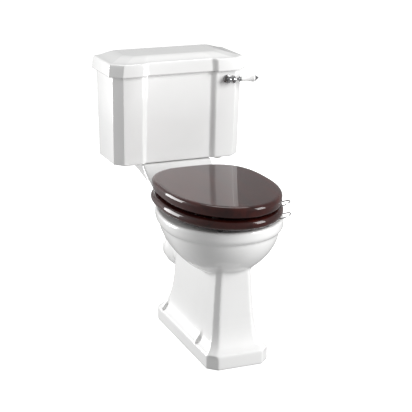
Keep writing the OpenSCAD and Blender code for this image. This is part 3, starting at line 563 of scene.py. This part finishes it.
def pedestal():
    """The foot and the column that rises from it into the bowl."""
    rings = [
        plinth(FOOT_HALF - 1 * MM, FOOT_FRONT_D - 1, FOOT_REAR_D + 1, FOOT_CHAMFER, 0),
        plinth(FOOT_HALF, FOOT_FRONT_D, FOOT_REAR_D, FOOT_CHAMFER, 1.5 * MM),
        plinth(FOOT_HALF, FOOT_FRONT_D, FOOT_REAR_D, FOOT_CHAMFER, FOOT_H - 2 * MM),
        plinth(FOOT_HALF - 1 * MM, FOOT_FRONT_D - 1, FOOT_REAR_D + 1, FOOT_CHAMFER, FOOT_H),
    ]
    heights = [41, 43, 46, 50, 55, 61, 68, 76, 85, 96, 110, 130, 160, 200, 250, 330]
    return loft("pedestal", rings + [column_ring(z) for z in heights])


def pedestal_hollow():
    """The hollow that the casting leaves in the foot and the column."""
    rings = [
        plinth(FOOT_HALF - CLAY, FOOT_FRONT_D - 12, FOOT_REAR_D + 12, 20 * MM, -5 * MM),
        plinth(FOOT_HALF - CLAY, FOOT_FRONT_D - 12, FOOT_REAR_D + 12, 20 * MM, 8 * MM),
        plinth(FOOT_HALF - 30 * MM, FOOT_FRONT_D - 24, FOOT_REAR_D + 24, 18 * MM, 30 * MM),
    ]
    return loft("pedestal_hollow", rings + [column_ring(z, 12) for z in (52, 80, 140)])


TRAP = [(465, 232), (460, 185), (440, 132), (390, 106), (338, 124), (313, 168),
        (292, 205), (256, 221), (222, 209), (195, 205), (150, 205)]
TRAP_R = 42 * MM
SPIGOT_R = 51 * MM
SPIGOT_Z = TRAP[-1][1] * MM
SPIGOT_ROOT_D, SPIGOT_END_D = 182, 154


def trap_line():
    """Centre line of the trap, down from the bowl, over the weir and to the outlet."""
    return catmull([(0, from_wall(d), z * MM) for d, z in TRAP], 4)


def trap_outside():
    """The clay around the trap, ending square where the spigot starts."""
    line = trap_line()
    trap = tube("trap_outside", line, [TRAP_R + CLAY] * len(line))
    root, far = from_wall(SPIGOT_ROOT_D), from_wall(SPIGOT_ROOT_D - 82)
    reach = 100 * MM
    square = [(-reach, root), (reach, root), (reach, far), (-reach, far)]
    ends = [at_height(square, z) for z in (100 * MM, 300 * MM)]
    cut_away(trap, [loft("square_end", ends)])
    return trap


def trap_bore():
    """The waterway through the trap, widened where it leaves the bowl."""
    start = Vector((0, from_wall(470), 262 * MM))
    path = [start, *trap_line()]
    return tube("trap_bore", path, [TRAP_R + 14 * MM] + [TRAP_R] * (len(path) - 1))


FLOOR_HOLE_X, FLOOR_HOLE_Y = 77 * MM, 135 * MM
HINGE_Y = from_wall(250)
SEAT_BOLT_X = 77.5 * MM


def upright(name, x, y, low, high, radius):
    """An upright rod between two heights; its heights and radius are in millimetres."""
    return cylinder(name, (x, y, low * MM), (x, y, high * MM), radius * MM)


def pan_holes():
    """Everything cut from the pan for what is fastened to it."""
    rods = []
    for x in (-FLOOR_HOLE_X, FLOOR_HOLE_X):
        for y in (-FLOOR_HOLE_Y, FLOOR_HOLE_Y):
            rods.append(upright("pocket", x, y, 34, 94, 9.5))
            rods.append(upright("screw_hole", x, y, -5, 36, 4.5))
    outlet = from_wall(OUTLET_D)
    for x in (-COUPLING_X, COUPLING_X):
        rods.append(upright("coupling", x, outlet, 400, 480, 6))
    for x in (-SEAT_BOLT_X, SEAT_BOLT_X):
        rods.append(upright("bolt", x, HINGE_Y, 380, 430, 7))
        rods.append(upright("flat", x, HINGE_Y, RIM_Z / MM, 455, 21))
    rods.append(upright("seat", 0, outlet, 449, 475, 44))
    rods.append(upright("inlet", 0, outlet, 412, 472, 34))
    return rods


def build_pan():
    """The pan as one clay body, its edges rounded as a glaze rounds them."""
    root = (0, from_wall(SPIGOT_ROOT_D + 5), SPIGOT_Z)
    spigot = cylinder("spigot", root, (0, from_wall(SPIGOT_END_D), SPIGOT_Z), SPIGOT_R)
    spigot_bore = cylinder(
        "spigot_bore", root, (0, from_wall(SPIGOT_END_D - 10), SPIGOT_Z), TRAP_R - 1 * MM)
    pan = sculpt(
        bowl_outside(),
        [pedestal(), shelf(), flushway(), trap_outside(), spigot],
        [bowl_inside(), pedestal_hollow(), trap_bore(), spigot_bore, *pan_holes()],
        voxel=3.2 * MM, steps=5,
    )
    pan.name = "pan_body"
    dress(pan, "china", "base", "pan")


build_pan()


# ---- cistern ----

TANK_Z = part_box("cistern")[0].z
TANK_TOP_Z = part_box("cistern")[1].z
TANK_HALF_LOW, TANK_HALF_HIGH = 194.6 * MM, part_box("cistern")[1].x
TANK_D_LOW, TANK_D_HIGH = 172.5 * MM, 189.3 * MM
TANK_TURN, TANK_INNER_TURN = 7 * MM, 8 * MM
TANK_WALL, TANK_FLOOR = 10 * MM, 12 * MM
TANK_LIP = 3 * MM
PANEL_DEPTH = 11 * MM
PANEL_HALF = 106 * MM
PANEL_CURVE = 10 * MM
CORNER_CHAMFER, INNER_CHAMFER = 25, 19
CORNER_EDGE, CORNER_REAR = 4 * MM, 6 * MM
LEVER_X, LEVER_Z = 146 * MM, 706 * MM
WATER_INLET_X = 158 * MM
WALL_HOLE_X, WALL_HOLE_Z = 115 * MM, 650 * MM


def tank_outline(half, depth, gap, chamfer, sunk, half_panel, z):
    """The cistern's outline: a sunk front panel with curved edges, chamfered corners."""
    front, rear = WALL_Y - depth, WALL_Y - gap
    panel = []
    for k in range(13):
        x = half_panel + PANEL_CURVE * (1 - k / 6)
        panel.append((-x, front + sunk * (0.5 - 0.5 * math.cos(math.pi * k / 12)), 0))
    right = [(-x, y, 0) for x, y, _ in reversed(panel)]
    corners = [
        *panel, *right,
        (half - chamfer, front, CORNER_EDGE), (half, front + chamfer, CORNER_EDGE),
        (half, rear, CORNER_REAR), (-half, rear, CORNER_REAR),
        (-half, front + chamfer, CORNER_EDGE), (-half + chamfer, front, CORNER_EDGE),
    ]
    return at_height(fillet(corners), z)


def tank_ring(z, inset, chamfer=CORNER_CHAMFER):
    """The tank's outline at a height, drawn in by an inset; its chamfer is in millimetres."""
    share = (z - TANK_Z) / (TANK_TOP_Z - TANK_Z)
    half = TANK_HALF_LOW + (TANK_HALF_HIGH - TANK_HALF_LOW) * share - inset
    depth = TANK_D_LOW + (TANK_D_HIGH - TANK_D_LOW) * share - inset
    return tank_outline(
        half, depth, 3 * MM + inset, chamfer * MM, PANEL_DEPTH, PANEL_HALF - inset / 3, z)


def tank_rings():
    """Up the outside, over the rounded top of the wall and down to the hollow floor."""
    rings = []
    for k in range(9):
        angle = math.pi / 2 * k / 8
        rings.append(tank_ring(
            TANK_Z + TANK_TURN * (1 - math.cos(angle)), TANK_TURN * (1 - math.sin(angle))))
    rings.append(tank_ring(TANK_Z + 120 * MM, 0))
    rings.append(tank_ring(TANK_TOP_Z - TANK_LIP, 0))
    for k in range(5):
        angle = math.pi * k / 4
        rings.append(tank_ring(
            TANK_TOP_Z - TANK_LIP + TANK_LIP * math.sin(angle),
            TANK_WALL / 2 * (1 - math.cos(angle)), CORNER_CHAMFER - 1.5 * k))
    rings.append(tank_ring(TANK_TOP_Z - 8 * MM, TANK_WALL, INNER_CHAMFER))
    for k in range(5):
        angle = math.pi / 2 * k / 4
        rings.append(tank_ring(
            TANK_Z + TANK_FLOOR + TANK_INNER_TURN * (1 - math.sin(angle)),
            TANK_WALL + TANK_INNER_TURN * (1 - math.cos(angle)), INNER_CHAMFER))
    return rings


def level(name, x, z, near, far, radius):
    """A rod through the tank from front to back, between two distances from the wall."""
    return cylinder(name, (x, from_wall(near), z), (x, from_wall(far), z), radius)


def tank_holes():
    """The holes for the outlet, the bolts, the water inlet, the lever and the wall screws."""
    outlet = from_wall(OUTLET_D)
    low, high = TANK_Z / MM - 10, TANK_Z / MM + 20
    holes = [upright("outlet", 0, outlet, low, high, 30)]
    for x in (-COUPLING_X, COUPLING_X):
        holes.append(upright("bolt", x, outlet, low, high, 6))
    holes.append(upright("inlet", WATER_INLET_X, outlet, low, high, 11.5))
    holes.append(level("lever", LEVER_X, LEVER_Z, 150, 210, 8 * MM))
    for x in (-WALL_HOLE_X, WALL_HOLE_X):
        holes.append(level("wall", x, WALL_HOLE_Z, 25, -5, 4 * MM))
    return holes


def build_cistern():
    """The tank with its holes."""
    tank = loft("cistern_body", tank_rings())
    cut_away(tank, tank_holes())
    dress(tank, "china", "base", "cistern", angle=35)


CAP_Z, CAP_TOP_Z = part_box("cistern_lid")[0].z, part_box("cistern_lid")[1].z
CAP_EDGE_Z = CAP_Z + 37 * MM
CAP_HALF, CAP_DEPTH = 206.3 * MM, 199.3 * MM
FLAT_HALF, FLAT_DEPTH = 142 * MM, 125 * MM
FLAT_PANEL = 80 * MM


def cap_edge(out, gap, chamfer, sunk, z):
    """A ring on the cap's upright edge; all but its height is in millimetres."""
    return tank_outline(
        CAP_HALF + out * MM, CAP_DEPTH + out * MM * 0.93, gap * MM, chamfer * MM,
        sunk * MM, PANEL_HALF, z)


def mix(a, b, share):
    """A value on the way from a at 0 to b at 1."""
    return a + (b - a) * share


def cap_slope(share):
    """A ring on the sloping facets, from the edge at 0 to the flat top at 1."""
    rise = share * share * (3 - 2 * share)
    return tank_outline(
        mix(CAP_HALF - 4 * MM, FLAT_HALF, share), mix(CAP_DEPTH - 4 * MM, FLAT_DEPTH, share),
        mix(3, 7, share) * MM, mix(32, 26, share) * MM, mix(11, 0, share) * MM,
        mix(PANEL_HALF - 1 * MM, FLAT_PANEL, share), mix(CAP_EDGE_Z + 0.4 * MM, CAP_TOP_Z, rise))


def cap_rings():
    """Up the cap's edge and over its facets to the flat top."""
    return [
        cap_edge(1.5, 2, 32, 12, CAP_Z),
        cap_edge(3.9, 0.6, 32.5, 12, CAP_Z + 0.8 * MM),
        cap_edge(5.1, 0, 33, 12, CAP_Z + 3 * MM),
        cap_edge(4.4, 0, 33, 12, CAP_Z + 8 * MM),
        cap_edge(2.2, 0, 33, 12, CAP_Z + 22 * MM),
        cap_edge(0.6, 0, 33, 12, CAP_EDGE_Z - 5 * MM),
        cap_edge(-0.2, 0.2, 33, 12, CAP_EDGE_Z - 2.6 * MM),
        cap_edge(-1.4, 1, 32.8, 11.6, CAP_EDGE_Z - 0.9 * MM),
        *(cap_slope(k / 12) for k in range(13)),
        tank_outline(FLAT_HALF - 3 * MM, FLAT_DEPTH - 3 * MM, 9 * MM, 25 * MM, 0,
                     FLAT_PANEL, CAP_TOP_Z),
    ]


def cap_hollow():
    """The hollow under the cap."""
    return loft("hollow", [
        tank_outline(CAP_HALF - 12 * MM, CAP_DEPTH - 14 * MM, 14 * MM, 28 * MM, PANEL_DEPTH,
                     PANEL_HALF, CAP_Z - 2 * MM),
        tank_outline(CAP_HALF - 16 * MM, CAP_DEPTH - 16 * MM, 16 * MM, 28 * MM, PANEL_DEPTH,
                     PANEL_HALF, CAP_EDGE_Z - 15 * MM),
        tank_outline(FLAT_HALF - 2 * MM, FLAT_DEPTH - 8 * MM, 20 * MM, 20 * MM, 0,
                     FLAT_PANEL, CAP_TOP_Z - 13 * MM),
    ])


def build_cistern_lid():
    """A faceted cap: an upright edge, sloping facets and a flat top, hollow below."""
    cap = loft("cistern_cap", cap_rings())
    cut_away(cap, [cap_hollow()])
    dress(cap, "china", "tank_lid", "cistern_lid", angle=30)


build_cistern()
build_cistern_lid()


# ---- seat ----

RING_Z, RING_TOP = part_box("seat_ring")[0].z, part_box("seat_ring")[1].z
COVER_Z, COVER_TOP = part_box("seat_lid")[0].z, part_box("seat_lid")[1].z


def inset_egg(shape, inset, z):
    """A ring of the seat's outline at a height, drawn in by an inset."""
    half, wide, front, rear, square = shape
    return at_height(
        egg(half - inset, wide, front + inset, rear - inset, square, 160), z)


def build_seat_ring():
    """The ring, its outer edge a full round and its inner edge eased."""
    outer = (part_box("seat_ring")[1].x, from_wall(483), from_wall(709), from_wall(261), 3)
    hole = (104 * MM, from_wall(485), from_wall(640), from_wall(330), 2.6)
    nose = (RING_TOP - RING_Z) / 2
    rings = []
    for k in range(14):
        angle = math.radians(-90 + 12 * k)
        rings.append(inset_egg(
            outer, nose * (1 - math.cos(angle)) * 0.9, RING_Z + nose * (1 + math.sin(angle))))
    rings.append(inset_egg(outer, nose * 1.1, RING_TOP - 0.15 * MM))
    rings.append(inset_egg(outer, nose * 1.7, RING_TOP))
    for inset, down in ((-24, 0), (-16, 0.3), (-9, 1.2), (-4, 2.9), (-1, 5.4), (0, 8.4)):
        rings.append(inset_egg(hole, inset * MM, RING_TOP - down * MM))
    for inset, up in ((0, 6), (-1.2, 2.6), (-4, 0.6), (-7, 0)):
        rings.append(inset_egg(hole, inset * MM, RING_Z + up * MM))
    ring = loft("seat_ring_wood", rings, closed=True)
    dress(ring, "mahogany", "ring", "seat_ring", angle=50)


def build_seat_lid():
    """The lid: a slightly crowned board with a rounded edge, hollowed a little below."""
    shape = (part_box("seat_lid")[1].x, from_wall(480), from_wall(715), from_wall(261), 3)
    edge = 11 * MM
    rings = [inset_egg(shape, inset * MM, COVER_Z + up * MM)
             for inset, up in ((14, 0), (9, 0), (6, 0.3), (3.2, 1.6), (1.4, 4.2), (0.3, 8.5))]
    for k in range(8):
        angle = math.radians(-20 + 12.5 * k)
        rings.append(inset_egg(
            shape, edge * (1 - math.cos(angle)), COVER_TOP - edge + edge * math.sin(angle)))
    rings.append(inset_egg(shape, edge * 1.15, COVER_TOP - 0.1 * MM))
    rings.append(inset_egg(shape, edge * 1.5, COVER_TOP))
    cover = loft("seat_lid_wood", rings)
    dress(cover, "mahogany", "lid", "seat_lid", angle=50)


build_seat_ring()
build_seat_lid()


# ---- fittings kept from the CAD ----


FITTING_BEVEL = 0.35 * MM
FITTING_SHARP = 40


def soften(obj, slot):
    """A CAD node with its own finish and a fine bevel on its hard edges."""
    edges = obj.modifiers.new("edges", "BEVEL")
    edges.width = FITTING_BEVEL
    edges.segments = 2
    edges.limit_method = "ANGLE"
    edges.angle_limit = math.radians(FITTING_SHARP)
    edges.harden_normals = True
    paint(obj, slot, FITTING_SHARP)


def dress_fittings():
    """Finishes every CAD node that no piece above replaces."""
    for part in frame["record"]["subparts"]:
        obj = NODES[part["node"]]
        if not obj.hide_render:
            soften(obj, part["material_slot"])


dress_fittings()


# ---- camera, floor and light ----

CAMERA_AZIMUTH, CAMERA_ELEVATION = math.radians(-21.6156), math.radians(16.7357)
CAMERA_DISTANCE = 3.5745
CAMERA_TARGET = Vector((0.0186, WALL_Y - 0.3403, 0.3737))
SENSOR_MM, LENS_MM = 36, 109.2
FLOOR_HALF, DOME_R = 30.0, 28
FLOOR_GLOW, DOME_GLOW, ROOM_GLOW = 0.75, 1.5, 0.38


def make_camera():
    """A long lens from the front left, a little above the seat."""
    camera = new_object("camera", bpy.data.cameras.new("camera"))
    camera.data.sensor_width = SENSOR_MM
    camera.data.lens = LENS_MM
    back = Vector((
        math.sin(CAMERA_AZIMUTH) * math.cos(CAMERA_ELEVATION),
        -math.cos(CAMERA_AZIMUTH) * math.cos(CAMERA_ELEVATION), math.sin(CAMERA_ELEVATION)))
    camera.location = CAMERA_TARGET + back * CAMERA_DISTANCE
    camera.rotation_euler = (-back).to_track_quat("-Z", "Y").to_euler()
    bpy.context.scene.camera = camera


def unlit_white(name, strength):
    """White that the camera sees evenly, whatever light falls on it."""
    mat, _, shader = material(name, base=(0.9, 0.9, 0.9), roughness=1.0)
    shader.inputs["Specular IOR Level"].default_value = 0.0
    shader.inputs["Emission Color"].default_value = (1, 1, 1, 1)
    shader.inputs["Emission Strength"].default_value = strength
    return mat


def seen_only(obj):
    """Keeps a piece of the studio out of the light that reaches the object."""
    obj.visible_diffuse = False
    obj.visible_glossy = False
    obj.visible_transmission = False
    obj.visible_shadow = False


def make_floor():
    """A wide pale floor."""
    corners = [(-1, -1), (1, -1), (1, 1), (-1, 1)]
    mesh = bpy.data.meshes.new("floor")
    mesh.from_pydata([(x * FLOOR_HALF, y * FLOOR_HALF, 0) for x, y in corners], [], [(0, 1, 2, 3)])
    floor = new_object("floor", mesh)
    floor.data.materials.append(unlit_white("floor", FLOOR_GLOW))
    seen_only(floor)


def make_dome():
    """A white dome beyond the floor."""
    rings = []
    for k in range(1, 17):
        angle = math.pi * k / 17 - math.pi / 2
        radius, height = DOME_R * math.cos(angle), DOME_R * math.sin(angle)
        rings.append([(radius * math.cos(a), radius * math.sin(a), height) for a in turns(32)])
    dome = loft("dome", rings)
    dome.data.materials.append(unlit_white("dome", DOME_GLOW))
    seen_only(dome)


def softbox(name, place, size, power, aim=(0, 0, 0.4)):
    """A rectangular light that faces the object."""
    light = bpy.data.lights.new(name, "AREA")
    light.shape = "RECTANGLE"
    light.size, light.size_y = size
    light.energy = power
    lamp = new_object(name, light)
    lamp.location = place
    lamp.rotation_euler = (Vector(aim) - Vector(place)).to_track_quat("-Z", "Y").to_euler()


def make_light():
    """Softboxes at the left, the front right and above, and a dim even room."""
    world = bpy.data.worlds.new("studio")
    bpy.context.scene.world = world
    world.use_nodes = True
    background = world.node_tree.nodes["Background"]
    background.inputs["Color"].default_value = (1, 1, 1, 1)
    background.inputs["Strength"].default_value = ROOM_GLOW
    softbox("left", (-2.35, 2.2, 0.9), (1.8, 2.0), 108)
    softbox("front_right", (2.2, -2.1, 1.6), (1.4, 2.2), 106)
    softbox("top", (0.2, 1.0, 3.0), (1.6, 1.0), 28)
    bpy.context.scene.view_settings.view_transform = "Standard"


make_camera()
make_floor()
make_dome()
make_light()
